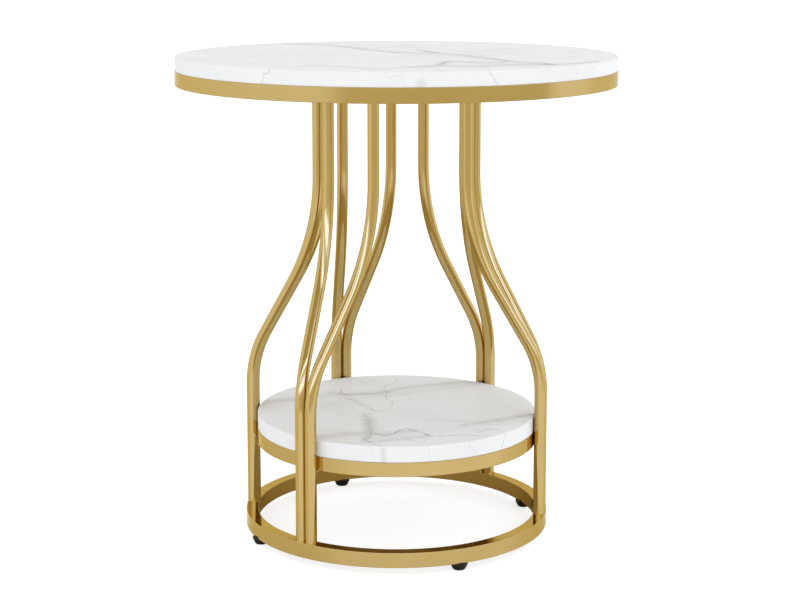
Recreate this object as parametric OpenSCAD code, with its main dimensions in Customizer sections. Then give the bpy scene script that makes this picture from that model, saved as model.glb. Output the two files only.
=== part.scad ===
// Round two-tier side table.
// A wide top board and a small low shelf are carried by ten round steel tubes.
// The tubes stand in touching pairs on a base ring, bend inwards as they rise and
// spread apart, and are bolted to a hub plate under the top.
// Origin: centre of the table on the floor. +Z is up, the open front faces -Y.
// Azimuths are counted from the front, anticlockwise seen from above.

/* [Overall] */
// Height of the table, floor to top surface
table_h = 552; // [500:2:680]
// Outer diameter of the ring under the top
top_d = 500; // [420:5:620]
// Outer diameter of the base ring
base_d = 351; // [310:1:430]
// Height of the shelf surface above the floor
shelf_h = 140; // [110:1:158]

/* [Boards] */
// Thickness of the top board
top_board_t = 15.5; // [12:0.5:25]
// Thickness of the shelf board
shelf_board_t = 18; // [12:0.5:25]
// How far a board's edge stands in from the ring that carries it
board_inset = 0.8; // [0:0.1:4]
// Bevel along the edges of the boards
board_bevel = 0.8; // [0.2:0.1:3]

/* [Rings] */
// Radial width of the ring sections
ring_w = 13.5; // [12:0.5:20]
// Height of the ring under the top
top_ring_h = 16.5; // [12:0.5:30]
// Height of the shelf ring
shelf_ring_h = 16; // [10:0.5:25]
// Height of the base ring
base_ring_h = 17; // [12:0.5:30]
// Wall of the hollow ring and bar sections
ring_wall = 1.5; // [1:0.1:2.5]
// Rounding of the long edges of the ring sections
ring_edge_r = 1; // [0.4:0.1:2]

/* [Tubes] */
// Outer diameter of a tube
tube_d = 13; // [10:0.5:16]
// Wall of a tube
tube_wall = 1.2; // [0.8:0.1:2]
// Azimuths of the five pairs, from the front
pair_azimuths = [55, 115.5, 180, 240.5, 300];
// Half the azimuth between the two tube tops of a pair
pair_spread = 20; // [12:0.5:24]
// Diameter of the circle that the tube tops stand on
tube_top_circle_d = 182.6; // [150:1:200]
// Lean of the middle stretch of a tube from the vertical
tube_lean = 30; // [24:0.5:34]
// Height above the floor where the lower bend starts
bend_start_h = 168; // [160:1:200]
// Radius of the lower bend, to the tube's centre line
low_bend_r = 121; // [60:1:130]
// Radius of the upper bend, to the tube's centre line
high_bend_r = 250; // [100:1:260]

/* [Top frame] */
// Thickness of the hub plate
hub_t = 5; // [3:0.5:8]
// Radial width of the hub plate
hub_w = 28; // [20:1:40]
// Depth of the hub plate's upper face under the top board
hub_drop = 4.5; // [3.6:0.1:7]
// Width of the bars between the hub plate and the top ring
bar_w = 13; // [11:0.5:20]
// Azimuths of the bars, from the front
bar_azimuths = [45, 135, 225, 315];

/* [Feet] */
// Upper diameter of a foot pad
foot_d = 19.5; // [14:0.5:24]
// Diameter of a foot pad where it meets the floor
foot_floor_d = 12.5; // [8:0.5:14]
// Height of a foot pad
foot_h = 8; // [6:0.5:14]
// How far a foot screws out
foot_travel = 7; // [3:0.5:7]
// Azimuths of the feet, from the front
foot_azimuths = [0, 90, 180, 270];

/* [Fasteners] */
// Thread diameter of the tube bolts and of the foot studs
bolt_d = 6; // [5:1:6]
// Thread diameter of the board screws
screw_d = 4; // [3:0.5:4.5]
// Depth of a board screw in its board
screw_depth = 11; // [8:0.5:11]

/* [Hidden] */
$fn = 96;
weld_gap = 0.2;        // left between welded parts where a curved face meets another
face_gap = 0.3;        // between the shelf ring and the tubes
thread_gap = 0.05;     // radial, screw in its nut or insert
hole_gap = 0.4;        // radial, bolt or screw through a plate
insert_gap = 0.05;     // radial, insert in its tube
bend_thinning = 0.05;  // radial, how much a bend draws the tube in
bend_lap = 1;          // length of a bend that runs inside the next straight stretch

PAIRS = ["front_right", "back_right", "back", "back_left", "front_left"];
BARS = ["front_right", "back_right", "back_left", "front_left"];
FEET = ["front", "right", "back", "left"];
SIDES = [-1, 1];

function leg_name(pair, side) = str("leg_", PAIRS[pair], side < 0 ? "_1" : "_2");
function bar_name(i) = str("top_bar_", BARS[i]);
function pad_name(i) = str("foot_pad_", FEET[i]);
function stud_name(i) = str("foot_stud_", FEET[i]);

gold = [0.76, 0.62, 0.33];
dark_gold = [0.62, 0.49, 0.24];
stone_white = [0.93, 0.93, 0.92];
zinc = [0.72, 0.73, 0.75];
black = [0.09, 0.09, 0.09];

// Heights above the floor
base_z = foot_h;
base_top_z = base_z + base_ring_h;
shelf_board_z = shelf_h - shelf_board_t;
shelf_ring_z = shelf_board_z - shelf_ring_h;
top_board_z = table_h - top_board_t;
top_ring_z = top_board_z - top_ring_h;
hub_top_z = top_board_z - hub_drop;
tube_top_z = hub_top_z - hub_t;

// Radii
tube_r = tube_d / 2;
tube_bore_r = tube_r - tube_wall;
ring_mid_r = (base_d - ring_w) / 2;
shelf_ring_r = ring_mid_r - tube_r - face_gap;
shelf_inner_r = shelf_ring_r - ring_w;
top_inner_r = top_d / 2 - ring_w;
tube_top_r = tube_top_circle_d / 2;
hub_outer_r = tube_top_r + hub_w / 2;
hub_inner_r = tube_top_r - hub_w / 2;

// The run of a tube in its own upright plane
pair_half_angle = asin((tube_r + weld_gap / 2) / ring_mid_r);
tube_turn = pair_spread - pair_half_angle;
tube_reach = sqrt(pow(ring_mid_r, 2) + pow(tube_top_r, 2)
    - 2 * ring_mid_r * tube_top_r * cos(tube_turn));
slant_l = (tube_reach - (low_bend_r + high_bend_r) * (1 - cos(tube_lean))) / sin(tube_lean);
low_l = bend_start_h - base_top_z;
slant_x = low_bend_r * (1 - cos(tube_lean));
slant_z = low_l + low_bend_r * sin(tube_lean);
high_z = slant_z + slant_l * cos(tube_lean) + high_bend_r * sin(tube_lean);
high_l = tube_top_z - base_top_z - high_z;

// Fasteners
bolt_r = bolt_d / 2;
bolt_head_r = bolt_d * 0.875;
bolt_head_h = bolt_d * 0.55;
bolt_key = bolt_d * 2 / 3;
bolt_reach = 16;
insert_l = 20;
screw_r = screw_d / 2;
screw_head_r = screw_d;
screw_head_h = screw_d * 0.6;
screw_tip_r = 0.6;
screw_tip_l = 1.5;
pilot_spare = 0.5;
head_gap = 0.6;
bar_screw_inset = 22;
bar_screw_r = [hub_outer_r + bar_screw_inset, top_inner_r - bar_screw_inset];

// Shelf tabs
tab_w = 22;
tab_l = 26;
tab_t = 3;
tab_azimuths = [45, 135, 225, 315];
tab_screw_inset = 15.6;
tab_screw_r = shelf_inner_r - tab_screw_inset;

// Foot nut and stud
nut_r = bolt_d * 0.75;
nut_collar_r = ring_w / 2 - ring_wall - weld_gap;
nut_collar_h = 2.5;
nut_l = 10.5;
stud_seat_z = 2.5;
stud_grip = 7.5;       // thread left in the nut when the foot is screwed right out
stud_top_z = base_z + stud_grip + foot_travel;
foot_chamfer_w = 1.2;
foot_chamfer_h = 1.4;
foot_collar_h = 1.6;

// Puts its children at a radius on an azimuth from the front, at a height
module at(radius, azimuth, z = 0) {
    rotate([0, 0, azimuth - 90]) translate([radius, 0, z]) children();
}

// Rectangle with round corners, its lower left corner at the origin
module soft_rect(w, h, r) {
    translate([r, 0]) square([w - 2 * r, h]);
    translate([0, r]) square([w, h - 2 * r]);
    for (x = [r, w - r]) for (y = [r, h - r]) translate([x, y]) circle(r, $fn = 32);
}

// Hollow section with round outer corners
module hollow_rect(w, h) {
    difference() {
        soft_rect(w, h, ring_edge_r);
        translate([ring_wall, ring_wall]) square([w - 2 * ring_wall, h - 2 * ring_wall]);
    }
}

// Ring rolled from the hollow section
module rolled_ring(outer_r, h) {
    rotate_extrude() translate([outer_r - ring_w, 0]) hollow_rect(ring_w, h);
}

// Round board with bevelled edges, on the plane z = 0
module round_board(r, t, bevel) {
    rotate_extrude() polygon([
        [0, 0], [r - bevel, 0], [r, bevel], [r, t - bevel], [r - bevel, t], [0, t]
    ]);
}

// Blind hole for a board screw, upwards from the plane z = 0
module screw_pilot() {
    translate([0, 0, -1]) cylinder(r = screw_r + thread_gap, h = 1 + screw_depth + pilot_spare);
}

// Pan-head board screw: its head hangs below the plane z = 0
module board_screw(plate_t) {
    translate([0, 0, -screw_head_h]) difference() {
        cylinder(r = screw_head_r, h = screw_head_h);
        translate([0, 0, -1]) cylinder(r = screw_r * 0.8, h = 2, $fn = 4);
    }
    tip_z = plate_t + screw_depth - screw_tip_l;
    cylinder(r = screw_r, h = tip_z);
    translate([0, 0, tip_z]) cylinder(r1 = screw_r, r2 = screw_tip_r, h = screw_tip_l);
}

// Bent stretch of a round bar in the xz plane, about the origin, from one angle up to another.
// It is a trace thinner than the straight stretches, and laps into them at both ends.
module bar_arc(bend_r, from_angle, r) {
    lap_angle = bend_lap / bend_r * 180 / PI;
    rotate([90, 0, 0]) rotate([0, 0, from_angle - lap_angle])
        rotate_extrude(angle = tube_lean + 2 * lap_angle)
            translate([bend_r, 0]) circle(r - bend_thinning, $fn = 48);
}

// S-bent round bar in its own plane: it rises from the origin and leans towards +x.
// Both ends can run on past the tube's own ends.
module bent_bar(r, run_on = 0) {
    translate([0, 0, -run_on]) cylinder(r = r, h = low_l + run_on, $fn = 48);
    translate([low_bend_r, 0, low_l]) bar_arc(low_bend_r, 180 - tube_lean, r);
    translate([slant_x, 0, slant_z]) rotate([0, tube_lean, 0])
        cylinder(r = r, h = slant_l, $fn = 48);
    translate([tube_reach - high_bend_r, 0, high_z]) bar_arc(high_bend_r, -tube_lean, r);
    translate([tube_reach, 0, high_z]) cylinder(r = r, h = high_l + run_on, $fn = 48);
}

// One hollow tube in its own plane
module bent_tube() {
    difference() {
        bent_bar(tube_r);
        bent_bar(tube_bore_r, run_on = 1);
    }
}

module top_board() {
    color(stone_white) difference() {
        translate([0, 0, top_board_z]) round_board(top_d / 2 - board_inset, top_board_t, board_bevel);
        for (azimuth = bar_azimuths) for (r = bar_screw_r)
            at(r, azimuth, top_board_z) screw_pilot();
    }
}

module top_ring() {
    color(gold) translate([0, 0, top_ring_z]) rolled_ring(top_d / 2, top_ring_h);
}

module hub_plate() {
    color(dark_gold) translate([0, 0, tube_top_z]) difference() {
        cylinder(r = hub_outer_r, h = hub_t);
        translate([0, 0, -1]) cylinder(r = hub_inner_r, h = hub_t + 2);
        for (pair = pair_azimuths) for (side = SIDES)
            at(tube_top_r, pair + side * pair_spread, -1)
                cylinder(r = bolt_r + hole_gap, h = hub_t + 2, $fn = 48);
    }
}

// Hollow bar from the hub plate to the top ring, with its screw holes
module top_bar(i) {
    bar_start = sqrt(pow(hub_outer_r + weld_gap, 2) - pow(bar_w / 2, 2)) - 1;
    color(dark_gold) rotate([0, 0, bar_azimuths[i] - 90]) difference() {
        intersection() {
            translate([bar_start, bar_w / 2, top_ring_z]) rotate([90, 0, -90]) mirror([0, 0, 1])
                linear_extrude(top_inner_r - bar_start)
                    mirror([1, 0]) translate([-bar_w, 0]) hollow_rect(bar_w, top_ring_h);
            translate([0, 0, top_ring_z - 1])
                cylinder(r = top_inner_r - weld_gap, h = top_ring_h + 2);
        }
        translate([0, 0, top_ring_z - 1]) cylinder(r = hub_outer_r + weld_gap, h = top_ring_h + 2);
        for (r = bar_screw_r) {
            translate([r, 0, top_ring_z - 1])
                cylinder(r = screw_head_r + head_gap, h = ring_wall + 2, $fn = 48);
            translate([r, 0, top_board_z - ring_wall - 1])
                cylinder(r = screw_r + hole_gap, h = ring_wall + 2, $fn = 48);
        }
    }
}

module leg(pair, side) {
    foot_azimuth = pair_azimuths[pair] + side * pair_half_angle;
    run_angle = 180 - side * asin(tube_top_r * sin(tube_turn) / tube_reach);
    color(gold) at(ring_mid_r, foot_azimuth, base_top_z)
        rotate([0, 0, run_angle]) bent_tube();
}

// Threaded inserts in the tops of the tubes
module tube_inserts() {
    color(zinc) for (pair = pair_azimuths) for (side = SIDES)
        at(tube_top_r, pair + side * pair_spread, tube_top_z - insert_l) difference() {
            cylinder(r = tube_bore_r - insert_gap, h = insert_l, $fn = 48);
            translate([0, 0, -1]) cylinder(r = bolt_r + thread_gap, h = insert_l + 2, $fn = 48);
        }
}

// Button-head bolts through the hub plate into the inserts
module tube_bolts() {
    color(zinc) for (pair = pair_azimuths) for (side = SIDES)
        at(tube_top_r, pair + side * pair_spread, hub_top_z) {
            translate([0, 0, -hub_t - bolt_reach])
                cylinder(r = bolt_r, h = hub_t + bolt_reach, $fn = 48);
            difference() {
                cylinder(r1 = bolt_head_r, r2 = bolt_head_r * 0.7, h = bolt_head_h, $fn = 48);
                translate([0, 0, bolt_head_h * 0.4])
                    cylinder(d = bolt_key / cos(30), h = bolt_head_h, $fn = 6);
            }
        }
}

module top_screws() {
    color(zinc) for (azimuth = bar_azimuths) for (r = bar_screw_r)
        at(r, azimuth, top_board_z - ring_wall) board_screw(ring_wall);
}

module shelf_board() {
    color(stone_white) difference() {
        translate([0, 0, shelf_board_z])
            round_board(shelf_ring_r - board_inset, shelf_board_t, board_bevel);
        for (azimuth = tab_azimuths) at(tab_screw_r, azimuth, shelf_board_z) screw_pilot();
    }
}

module shelf_ring() {
    color(gold) translate([0, 0, shelf_ring_z]) rolled_ring(shelf_ring_r, shelf_ring_h);
}

// Flat tabs inside the shelf ring that the shelf board is screwed to
module shelf_tabs() {
    color(dark_gold) for (azimuth = tab_azimuths) difference() {
        intersection() {
            at(shelf_inner_r - tab_l, azimuth, shelf_board_z - tab_t)
                translate([0, -tab_w / 2, 0]) cube([tab_l, tab_w, tab_t]);
            translate([0, 0, shelf_board_z - tab_t - 1])
                cylinder(r = shelf_inner_r - weld_gap, h = tab_t + 2);
        }
        at(tab_screw_r, azimuth, shelf_board_z - tab_t - 1)
            cylinder(r = screw_r + hole_gap, h = tab_t + 2, $fn = 48);
    }
}

module shelf_screws() {
    color(zinc) for (azimuth = tab_azimuths)
        at(tab_screw_r, azimuth, shelf_board_z - tab_t) board_screw(tab_t);
}

module base_ring() {
    color(gold) difference() {
        translate([0, 0, base_z]) rolled_ring(base_d / 2, base_ring_h);
        for (azimuth = foot_azimuths)
            at(ring_mid_r, azimuth, base_z - 1)
                cylinder(r = nut_r + insert_gap, h = ring_wall + 2, $fn = 48);
    }
}

// Rivet nuts in the underside of the base ring
module foot_nuts() {
    color(zinc) for (azimuth = foot_azimuths) at(ring_mid_r, azimuth, base_z) difference() {
        union() {
            cylinder(r = nut_r, h = nut_l, $fn = 48);
            translate([0, 0, ring_wall]) cylinder(r = nut_collar_r, h = nut_collar_h, $fn = 48);
        }
        translate([0, 0, -1]) cylinder(r = bolt_r + thread_gap, h = nut_l + 2, $fn = 48);
    }
}

module foot_pad(i) {
    floor_r = foot_floor_d / 2;
    color(black) at(ring_mid_r, foot_azimuths[i]) difference() {
        rotate_extrude($fn = 64) polygon([
            [0, 0], [floor_r, 0], [floor_r + foot_chamfer_w, foot_chamfer_h],
            [foot_d / 2, foot_h - foot_collar_h], [foot_d / 2, foot_h], [0, foot_h]
        ]);
        translate([0, 0, stud_seat_z])
            cylinder(r = bolt_r + thread_gap, h = foot_h, $fn = 48);
    }
}

module foot_stud(i) {
    color(zinc) at(ring_mid_r, foot_azimuths[i], stud_seat_z)
        cylinder(r = bolt_r, h = stud_top_z - stud_seat_z, $fn = 48);
}

top_board();
top_ring();
hub_plate();
for (i = [0:3]) top_bar(i);
for (pair = [0:4]) for (side = SIDES)
    leg(pair, side);
tube_inserts();
tube_bolts();
top_screws();
shelf_board();
shelf_ring();
shelf_tabs();
shelf_screws();
base_ring();
foot_nuts();
for (i = [0:3]) foot_pad(i);
for (i = [0:3]) foot_stud(i);
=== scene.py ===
"""Round two-tier side table: marble-look boards on a frame of bent gold tubes."""

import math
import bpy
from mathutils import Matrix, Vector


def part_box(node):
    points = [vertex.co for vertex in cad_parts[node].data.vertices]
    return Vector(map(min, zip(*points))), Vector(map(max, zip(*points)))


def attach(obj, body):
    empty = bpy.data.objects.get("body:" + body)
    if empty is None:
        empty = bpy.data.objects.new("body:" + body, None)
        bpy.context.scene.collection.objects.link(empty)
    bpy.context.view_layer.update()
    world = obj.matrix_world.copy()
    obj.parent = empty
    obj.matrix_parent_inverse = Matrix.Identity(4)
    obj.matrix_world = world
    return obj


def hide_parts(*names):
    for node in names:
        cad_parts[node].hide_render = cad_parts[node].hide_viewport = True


bl_info = {
    "name": "Two-Tier Side Table",
    "version": (1, 0, 0),
    "blender": (4, 5, 0),
    "location": "3D View > Sidebar > Side Table",
    "description": "Makes the finished pieces of a round two-tier side table on its frame",
    "category": "Object",
}

import bmesh
import bpy
from bpy.props import FloatProperty, FloatVectorProperty, PointerProperty
from mathutils import Vector

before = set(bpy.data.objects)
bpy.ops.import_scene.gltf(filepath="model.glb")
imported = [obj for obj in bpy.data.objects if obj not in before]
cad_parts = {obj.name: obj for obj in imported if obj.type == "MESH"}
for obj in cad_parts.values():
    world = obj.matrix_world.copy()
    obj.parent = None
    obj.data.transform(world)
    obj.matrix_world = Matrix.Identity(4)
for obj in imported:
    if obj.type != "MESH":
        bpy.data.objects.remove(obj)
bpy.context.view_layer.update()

PAIRS = ("front_right", "back_right", "back", "back_left", "front_left")
LEGS = [f"leg_{pair}_{number}" for pair in PAIRS for number in (1, 2)]
FEET = ("front", "right", "back", "left")

# The bars under the top, and their azimuths in degrees from the front
BARS = {"front_right": 45, "back_right": 135, "back_left": 225, "front_left": 315}


# Measures taken from the frame, in metres

# Corners of a tube's flat end differ in height by less than this
SAME_HEIGHT = 1e-5

# Millimetres in a metre
MILLIMETRES = 1000


def corners_of(node):
    """All the corner points of a frame node."""
    return [vertex.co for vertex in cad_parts[node].data.vertices]


def ring_sizes(node):
    """Inner radius, outer radius, underside and upper side of a round node."""
    radii = [point.xy.length for point in corners_of(node)]
    low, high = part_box(node)
    return min(radii), max(radii), low.z, high.z


def end_centre(node, upper):
    """Centre of a tube's flat lower or upper end."""
    low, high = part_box(node)
    height = high.z if upper else low.z
    rim = [point for point in corners_of(node) if abs(point.z - height) < SAME_HEIGHT]
    xs = [point.x for point in rim]
    ys = [point.y for point in rim]
    return Vector(((min(xs) + max(xs)) / 2, (min(ys) + max(ys)) / 2, height))


def middle_of(node):
    """Middle of a node's box."""
    low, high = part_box(node)
    return (low + high) / 2


def facing(azimuth):
    """Level unit vector at an azimuth from the front, in degrees."""
    angle = math.radians(azimuth)
    return (math.sin(angle), -math.cos(angle), 0.0)


FEET_ENDS = [end_centre(leg, False) for leg in LEGS]
TOP_ENDS = [end_centre(leg, True) for leg in LEGS]
TUBE_REACH = (TOP_ENDS[0].xy - FEET_ENDS[0].xy).length
TUBE_RISE = TOP_ENDS[0].z - FEET_ENDS[0].z


# Sizes and colours that can be changed


class SIDETABLE_PG_boards(bpy.types.PropertyGroup):
    """Sizes and colours of the two marble-look boards."""

    edge_radius: FloatProperty(
        name="Edge Radius",
        description="Rounding of the boards' edges",
        default=0.0004,
        min=0.0002,
        max=0.003,
        precision=4,
        unit="LENGTH",
    )
    ground_colour: FloatVectorProperty(
        name="Ground",
        description="White between the veins",
        default=(0.852, 0.864, 0.878),
        size=3,
        subtype="COLOR",
    )
    # This grey also paints the shadows of the tubes on the shelf: painted shadow.
    band_and_shadow_colour: FloatVectorProperty(
        name="Bands",
        description="Soft grey bands in the ground",
        default=(0.63, 0.625, 0.615),
        size=3,
        subtype="COLOR",
    )
    vein_colour: FloatVectorProperty(
        name="Veins",
        description="Thin grey-brown veins",
        default=(0.37, 0.355, 0.33),
        size=3,
        subtype="COLOR",
    )
    top_backing_colour: FloatVectorProperty(
        name="Top Backing",
        description="Pale sheet on the underside of the top",
        default=(0.88, 0.91, 0.96),
        size=3,
        subtype="COLOR",
    )
    # Kept dark brown as painted shade, so that the gold ring below mirrors the shelf's underside
    # darker than the light alone makes it.
    shelf_backing_colour: FloatVectorProperty(
        name="Shelf Backing",
        description="Raw board on the underside of the shelf",
        default=(0.5, 0.38, 0.2),
        size=3,
        subtype="COLOR",
    )


class SIDETABLE_PG_rings(bpy.types.PropertyGroup):
    """Sizes of the three rings and the hub plate."""

    edge_radius: FloatProperty(
        name="Edge Radius",
        description="Rounding of the rings' long edges",
        default=0.0004,
        min=0.0002,
        max=0.002,
        precision=4,
        unit="LENGTH",
    )
    hub_edge_radius: FloatProperty(
        name="Hub Edge Radius",
        description="Rounding of the hub plate's edges",
        default=0.0004,
        min=0.0001,
        max=0.001,
        precision=4,
        unit="LENGTH",
    )
    nut_hole: FloatProperty(
        name="Nut Hole",
        description="Diameter of the holes for the foot nuts under the base ring",
        default=0.0091,
        precision=4,
        unit="LENGTH",
    )


class SIDETABLE_PG_tubes(bpy.types.PropertyGroup):
    """Sizes of the ten bent tubes."""

    diameter: FloatProperty(
        name="Diameter",
        description="Outer diameter of a tube",
        default=0.013,
        min=0.01,
        max=0.016,
        precision=4,
        unit="LENGTH",
    )
    straight: FloatProperty(
        name="Lower Straight",
        description="Length of the upright stretch above the base ring",
        default=0.143,
        min=0.1,
        max=0.17,
        precision=3,
        unit="LENGTH",
    )
    lower_bend: FloatProperty(
        name="Lower Bend",
        description="Radius of the lower bend on the tube's centre line",
        default=0.121,
        min=0.06,
        max=0.13,
        precision=3,
        unit="LENGTH",
    )
    upper_bend: FloatProperty(
        name="Upper Bend",
        description="Radius of the upper bend on the tube's centre line",
        default=0.25,
        min=0.1,
        max=0.26,
        precision=3,
        unit="LENGTH",
    )
    lean: FloatProperty(
        name="Lean",
        description="Angle of the middle stretch from the upright",
        default=math.radians(30),
        min=math.radians(24),
        max=math.radians(34),
        subtype="ANGLE",
    )


class SIDETABLE_PG_fasteners(bpy.types.PropertyGroup):
    """Sizes of the bolts, board screws and foot threads."""

    bolt_diameter: FloatProperty(
        name="Bolt Thread",
        description="Thread diameter of the tube bolts and foot studs",
        default=0.006,
        precision=4,
        unit="LENGTH",
    )
    screw_diameter: FloatProperty(
        name="Screw Thread",
        description="Thread diameter of the board screws",
        default=0.004,
        precision=4,
        unit="LENGTH",
    )
    outer_screws: FloatProperty(
        name="Outer Screws",
        description="Radius of the outer board screws in the bars",
        default=0.2145,
        precision=4,
        unit="LENGTH",
    )
    inner_screws: FloatProperty(
        name="Inner Screws",
        description="Radius of the inner board screws in the bars",
        default=0.1273,
        precision=4,
        unit="LENGTH",
    )
    shelf_screws: FloatProperty(
        name="Shelf Screws",
        description="Radius of the board screws in the shelf tabs",
        default=0.13285,
        precision=4,
        unit="LENGTH",
    )
    pitch: FloatProperty(
        name="Thread Pitch",
        description="Pitch of the foot studs' thread",
        default=0.001,
        precision=4,
        unit="LENGTH",
    )


class SIDETABLE_PG_feet(bpy.types.PropertyGroup):
    """Sizes and colour of the levelling feet."""

    floor_diameter: FloatProperty(
        name="Floor Diameter",
        description="Diameter of a pad where it meets the floor",
        default=0.0125,
        precision=4,
        unit="LENGTH",
    )
    collar_height: FloatProperty(
        name="Collar Height",
        description="Height of the upright collar at the top of a pad",
        default=0.0016,
        precision=4,
        unit="LENGTH",
    )
    colour: FloatVectorProperty(
        name="Plastic",
        description="Moulded plastic of the pads",
        default=(0.005, 0.005, 0.0055),
        size=3,
        subtype="COLOR",
    )


class SIDETABLE_PG_finish(bpy.types.PropertyGroup):
    """The metal finishes."""

    gold: FloatVectorProperty(
        name="Gold",
        description="Colour of the polished gold",
        default=(0.615, 0.45, 0.182),
        size=3,
        subtype="COLOR",
    )
    gold_edge: FloatVectorProperty(
        name="Gold Edge",
        description="Tint of the gold seen at a glancing angle",
        default=(0.8, 0.71, 0.48),
        size=3,
        subtype="COLOR",
    )
    gold_roughness: FloatProperty(
        name="Gold Roughness",
        description="Mean roughness of the polished gold",
        default=0.09,
        min=0.02,
        max=0.4,
        subtype="FACTOR",
    )
    zinc: FloatVectorProperty(
        name="Zinc",
        description="Colour of the plated steel",
        default=(0.6, 0.61, 0.63),
        size=3,
        subtype="COLOR",
    )


class SIDETABLE_PG_stage(bpy.types.PropertyGroup):
    """The floor, the lamps and the camera."""

    left_power: FloatProperty(
        name="Left Lamp",
        description="Power of the lamp on the left of the table",
        default=2.0,
        min=0.0,
        unit="POWER",
    )
    right_power: FloatProperty(
        name="Right Lamp",
        description="Power of the lamp on the right of the table",
        default=5.0,
        min=0.0,
        unit="POWER",
    )
    sky_strength: FloatProperty(
        name="Sky",
        description="Strength of the soft light overhead",
        default=0.785,
        min=0.0,
    )
    horizon_strength: FloatProperty(
        name="Horizon",
        description="Strength of the soft light at eye level, all round",
        default=1.35,
        min=0.0,
    )
    floor_size: FloatProperty(
        name="Floor",
        description="Half the width of the floor",
        default=40.0,
        unit="LENGTH",
    )
    camera_turn: FloatProperty(
        name="Camera Turn",
        description="Angle of the camera round the table from the front",
        default=math.radians(-24),
        subtype="ANGLE",
    )
    camera_pitch: FloatProperty(
        name="Camera Pitch",
        description="Angle that the camera looks down",
        default=math.radians(9.13),
        subtype="ANGLE",
    )


# Node trees written as sums


class Value:
    """Output of a node that can stand in a sum: each step adds a Math node."""

    def __init__(self, net, socket):
        self.net = net
        self.socket = socket

    def math(self, operation, *others):
        return self.net.math(operation, self, *others)

    def __add__(self, other):
        return self.math("ADD", other)

    def __sub__(self, other):
        return self.math("SUBTRACT", other)

    def __mul__(self, other):
        return self.math("MULTIPLY", other)

    def __truediv__(self, other):
        return self.math("DIVIDE", other)

    def __radd__(self, other):
        return self.net.math("ADD", other, self)

    def __rsub__(self, other):
        return self.net.math("SUBTRACT", other, self)

    def __rmul__(self, other):
        return self.net.math("MULTIPLY", other, self)

    def __neg__(self):
        return self.net.math("MULTIPLY", self, -1)


class Net:
    """Adds nodes to a shader tree or a geometry tree."""

    def __init__(self, tree):
        self.tree = tree

    def add(self, kind, settings=None, values=None, output=0):
        """Adds a node, sets it up, feeds its sockets and gives one of its outputs."""
        node = self.tree.nodes.new(kind)
        place = len(self.tree.nodes) - 1
        node.location = (place // 6 * 220, place % 6 * -190)
        for name, setting in (settings or {}).items():
            if name == "choices":
                while len(node.index_switch_items) < setting:
                    node.index_switch_items.new()
            else:
                setattr(node, name, setting)
        for key, value in (values or {}).items():
            if isinstance(value, Value):
                self.tree.links.new(value.socket, node.inputs[key])
            elif node.inputs[key].type == "RGBA" and len(value) == 3:
                node.inputs[key].default_value = (*value, 1)
            else:
                node.inputs[key].default_value = value
        return Value(self, node.outputs[output]) if node.outputs else node

    def outputs(self, kind):
        """Adds a node and gives all its outputs by name."""
        node = self.add(kind).socket.node
        return {socket.name: Value(self, socket) for socket in node.outputs}

    def math(self, operation, *terms):
        return self.add("ShaderNodeMath", {"operation": operation}, dict(enumerate(terms)))

    def vector(self, operation, *terms):
        settings = {"operation": operation}
        output = 1 if operation in ("DOT_PRODUCT", "LENGTH") else 0
        return self.add("ShaderNodeVectorMath", settings, dict(enumerate(terms)), output)

    def scaled(self, vector, factor):
        values = {"Vector": vector, "Scale": factor}
        return self.add("ShaderNodeVectorMath", {"operation": "SCALE"}, values)

    def parts(self, vector):
        """The x, y and z of a vector."""
        node = self.add("ShaderNodeSeparateXYZ", None, {0: vector}).socket.node
        return [Value(self, socket) for socket in node.outputs]

    def joined(self, x=0.0, y=0.0, z=0.0):
        return self.add("ShaderNodeCombineXYZ", None, {0: x, 1: y, 2: z})

    def ramped(self, value, start, end, low=0.0, high=1.0):
        """Goes smoothly from low at start to high at end, and stays there beyond them."""
        values = {0: value, 1: start, 2: end, 3: low, 4: high}
        return self.add("ShaderNodeMapRange", {"interpolation_type": "SMOOTHSTEP"}, values)

    def colour(self, factor, first, second, blend="MIX"):
        settings = {"data_type": "RGBA", "blend_type": blend}
        return self.add("ShaderNodeMix", settings, {0: factor, 6: first, 7: second}, 2)

    def noise(self, place, scale, detail=2.0, roughness=0.5, output=0):
        values = {"Vector": place, "Scale": scale, "Detail": detail, "Roughness": roughness}
        return self.add("ShaderNodeTexNoise", None, values, output)

    def bump(self, height, strength, distance):
        values = {"Strength": strength, "Distance": distance, "Height": height}
        return self.add("ShaderNodeBump", None, values)

    def shader_mix(self, factor, first, second):
        return self.add("ShaderNodeMixShader", None, {0: factor, 1: first, 2: second})


def new_material(name, shown):
    """The net of a new, empty material; shown is its colour in a plain view."""
    material = bpy.data.materials.new(name)
    material.use_nodes = True
    material.node_tree.nodes.clear()
    material.diffuse_color = (*shown, 1)
    return Net(material.node_tree)


def finish_material(net, values):
    """Ends a material with its surface shader."""
    surface = net.add("ShaderNodeBsdfPrincipled", None, values)
    net.add("ShaderNodeOutputMaterial", None, {"Surface": surface})


def object_place(net):
    """Object coordinates in millimetres."""
    place = net.outputs("ShaderNodeTexCoord")["Object"]
    return net.scaled(place, MILLIMETRES)


# Materials

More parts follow.
